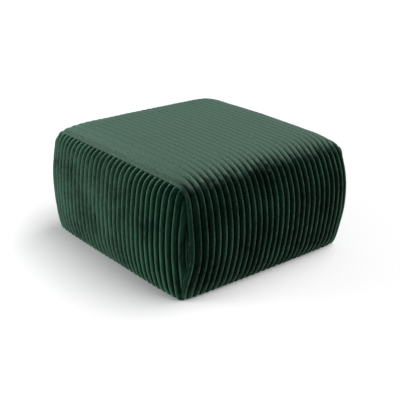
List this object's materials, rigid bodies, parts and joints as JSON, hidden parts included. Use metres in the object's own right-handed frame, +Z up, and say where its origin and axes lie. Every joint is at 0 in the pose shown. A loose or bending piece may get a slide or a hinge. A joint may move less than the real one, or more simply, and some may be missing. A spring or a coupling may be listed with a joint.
{
  "type": "pouf",
  "caption": "Square upholstered pouf in wide-wale corded velvet, with a strip over the seat, barrel-sided end panels and a flat base.",
  "frame": {"origin": "on the floor under the middle of the seat", "axes": "+Z up; the end panels with upright wales face -Y and +Y; the long strip runs up -X, over the seat and down +X"},
  "size_m": [0.7134, 0.6798, 0.3572],
  "materials": {
    "corded_velvet": "matt pile with a soft sheen at grazing angles",
    "base_cloth": "matt plain weave"
  },
  "bodies": {
    "root": {"wrap_panel": "corded_velvet", "end_panel_front": "corded_velvet", "end_panel_rear": "corded_velvet", "base_panel": "base_cloth"}
  },
  "joints": []
}
